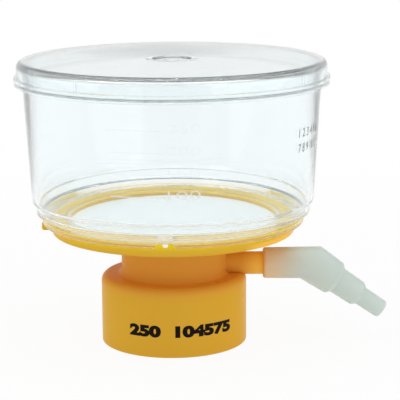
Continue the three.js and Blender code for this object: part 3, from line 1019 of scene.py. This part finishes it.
def wrapped(name, mesh, width, s, low, material, radiusAt=wallRadius):
    # cuts a flat mesh (x along, y up, z out, in mm) across at every step and wraps it round the axis
    work = bmesh.new()
    work.from_mesh(mesh)
    for k in range(1, math.ceil(width / s["step"])):
        everything = work.verts[:] + work.edges[:] + work.faces[:]
        bmesh.ops.bisect_plane(work, geom=everything, plane_co=(k * s["step"], 0, 0), plane_no=(1, 0, 0))
    for vertex in work.verts:
        x, y, z = vertex.co
        height = low + y
        radius = radiusAt(height) + s["lift"]
        angle = math.radians(s["from"] - 90) + x / radius
        out = radius + z
        vertex.co = (axisX + out * math.cos(angle) * mm, out * math.sin(angle) * mm, height * mm)
    piece = bpy.data.objects.new(name, keepMesh(work, mesh))
    sceneNow.collection.objects.link(piece)
    mesh.materials.clear()
    mesh.materials.append(material)
    return finishPiece(piece, "unit")


def widthAt(s, radius):
    # how long a mark is on a wall of this radius
    return math.radians(s["to"] - s["from"]) * radius


def makeCollarPrint(s):
    width = widthAt(s, collarRadius(s["low"]))
    wrapped("collarDigits", textMesh(s["words"], width, s), width, s, s["low"], blackInk, collarRadius)


def makeWallPrint(s):
    for k, words in enumerate(s["rows"]):
        low = s["low"] + (len(s["rows"]) - 1 - k) * s["pitch"]
        width = widthAt(s, wallRadius(low))
        wrapped("wallDigits" + str(k + 1), textMesh(words, width, s), width, s, low, greyInk)


def makeScale(s, t):
    width, tickWidth = widthAt(s, wallRadius(s["low"])), widthAt(t, wallRadius(s["low"]))
    for k, number in enumerate(s["numbers"]):
        low = s["low"] + k * s["pitch"]
        wrapped("scale" + number, textMesh(number, width, s), width, s, low, frosted)
        bar = blockMesh("tick", [((0, tickWidth / mm), (0, t["height"] / mm), (0, t["relief"] / mm))])
        wrapped("tick" + number, bar, tickWidth, t, low + t["rise"], frosted)


makeCollarPrint(collarPrint)
makeWallPrint(wallPrint)
makeScale(scaleNumbers, scaleTicks)


# floor, lamps and world, in metres
studio = {
    "floor": 6.0,
    "floorSink": 0.00005,  # under the unit's foot
    "floorColour": "#f4f4f4",
    "fadeFrom": 0.1,
    "fadeTo": 0.4,
    "nearFloor": 0.93,
    "dimFrom": -0.12,
    "dimTo": 0.02,
    "frontFloor": 0.45,
    "bounce": 0.42,
    "front": 0.25,
    "back": 0.85,
    "backFrom": 0.3,
    "backTo": 0.85,
    "ceiling": 0.45,
    "ceilingFrom": 0.15,
    "ceilingTo": 0.5,
    "bounces": 96,
    "seeThrough": 32,
    "aim": 0.05,  # height that the lamps point at
    "lamps": (
        {"name": "leftSoftbox", "at": (-0.82, -0.1, 0.6), "size": 1.5, "power": 6.2},
        {"name": "rightSoftbox", "at": (0.75, -0.4, 0.48), "size": 1.5, "power": 6.3},
        {"name": "topSoftbox", "at": (0.0, 0.0, 0.95), "size": 0.9, "power": 3.5},
        {"name": "keySoftbox", "at": (0.0, -0.9, 0.15), "size": 1.5, "power": 1.6},
    ),
}


def floorPaper(tree, place, s):
    # White paper: matt, so that it keeps the object's shadow, and shown nearly white all over.
    distance = addNode(tree, "ShaderNodeVectorMath", {0: place}, operation="LENGTH").outputs["Value"]
    away = addNode(tree, "ShaderNodeMapRange", {
        "Value": distance, "From Min": s["fadeFrom"], "From Max": s["fadeTo"], "To Min": s["nearFloor"]},
        interpolation_type="SMOOTHSTEP")
    # mirrored or seen through plastic, the floor in front of the unit is as dim as the room there
    depth = addNode(tree, "ShaderNodeSeparateXYZ", {0: place}).outputs["Y"]
    toBack = addNode(tree, "ShaderNodeMapRange", {
        "Value": depth, "From Min": s["dimFrom"], "From Max": s["dimTo"], "To Min": s["frontFloor"]},
        interpolation_type="SMOOTHSTEP")
    ray = addNode(tree, "ShaderNodeLightPath").outputs
    mirrored = addNode(tree, "ShaderNodeMath", {0: ray["Is Glossy Ray"], 1: ray["Is Transmission Ray"]},
                       operation="MAXIMUM")
    dimmed = addNode(tree, "ShaderNodeMath", {0: toBack, 1: mirrored}, operation="MULTIPLY")
    either = addNode(tree, "ShaderNodeMath", {0: ray["Is Camera Ray"], 1: dimmed}, operation="ADD")
    either = addNode(tree, "ShaderNodeMath", {0: ray["Is Diffuse Ray"], 1: s["bounce"], 2: either},
                     operation="MULTIPLY_ADD")
    seen = addNode(tree, "ShaderNodeMath", {0: away, 1: either}, operation="MULTIPLY")
    paper = addNode(tree, "ShaderNodeBsdfDiffuse", {"Color": linear(s["floorColour"])})
    white = addNode(tree, "ShaderNodeEmission", {"Color": (1, 1, 1, 1), "Strength": 1.0})
    return {"Surface": addNode(tree, "ShaderNodeMixShader", {0: seen, 1: paper, 2: white})}


def makeFloor(s):
    mesh = bpy.data.meshes.new("floor")
    half = s["floor"] / 2
    corners = [(-half, -half, 0), (half, -half, 0), (half, half, 0), (-half, half, 0)]
    mesh.from_pydata(corners, [], [(0, 1, 2, 3)])
    floor = bpy.data.objects.new("floor", mesh)
    sceneNow.collection.objects.link(floor)
    floor.location.z = -s["floorSink"]
    material = makeMaterial("paleStudioFloor", floorPaper, s)
    material.cycles.emission_sampling = "NONE"
    mesh.materials.append(material)


def makeWorld(s):
    world = bpy.data.worlds.new("studioWorld")
    sceneNow.world = world
    world.use_nodes = True
    tree = world.node_tree
    tree.nodes.clear()
    ray = addNode(tree, "ShaderNodeLightPath")
    direction = addNode(tree, "ShaderNodeTexCoord").outputs["Generated"]
    along = addNode(tree, "ShaderNodeSeparateXYZ", {0: direction}).outputs
    # a white backdrop, a dimmer room in front of it and a dimmer ceiling give plastic its soft edge lines
    room = addNode(tree, "ShaderNodeMapRange", {
        "Value": along["Y"], "From Min": s["backFrom"], "From Max": s["backTo"], "To Min": s["front"],
        "To Max": s["back"]}, interpolation_type="SMOOTHSTEP")
    above = addNode(tree, "ShaderNodeMapRange", {
        "Value": along["Z"], "From Min": s["ceilingFrom"], "From Max": s["ceilingTo"], "To Min": 1.0,
        "To Max": s["ceiling"]}, interpolation_type="SMOOTHSTEP")
    light = addNode(tree, "ShaderNodeMath", {0: room, 1: above}, operation="MULTIPLY")
    shown = addNode(tree, "ShaderNodeMix", {"Factor": ray.outputs["Is Camera Ray"], "A": light, "B": 1.0})
    sky = addNode(tree, "ShaderNodeBackground", {"Color": (1, 1, 1, 1), "Strength": shown})
    addNode(tree, "ShaderNodeOutputWorld", {"Surface": sky})


def makeLamps(s):
    aim = Vector((axisX, 0, s["aim"]))
    for lamp in s["lamps"]:
        data = bpy.data.lights.new(lamp["name"], "AREA")
        data.shape = "SQUARE"
        data.size = lamp["size"]
        data.energy = lamp["power"]
        item = bpy.data.objects.new(lamp["name"], data)
        sceneNow.collection.objects.link(item)
        item.location = lamp["at"]
        item.rotation_euler = (aim - item.location).to_track_quat("-Z", "Y").to_euler()


makeFloor(studio)
makeWorld(studio)
makeLamps(studio)
sceneNow.view_settings.view_transform = "Standard"
sceneNow.cycles.max_bounces = studio["bounces"]
sceneNow.cycles.transmission_bounces = studio["bounces"]
sceneNow.cycles.glossy_bounces = studio["bounces"]
sceneNow.cycles.transparent_max_bounces = studio["seeThrough"]
print("studio ready")
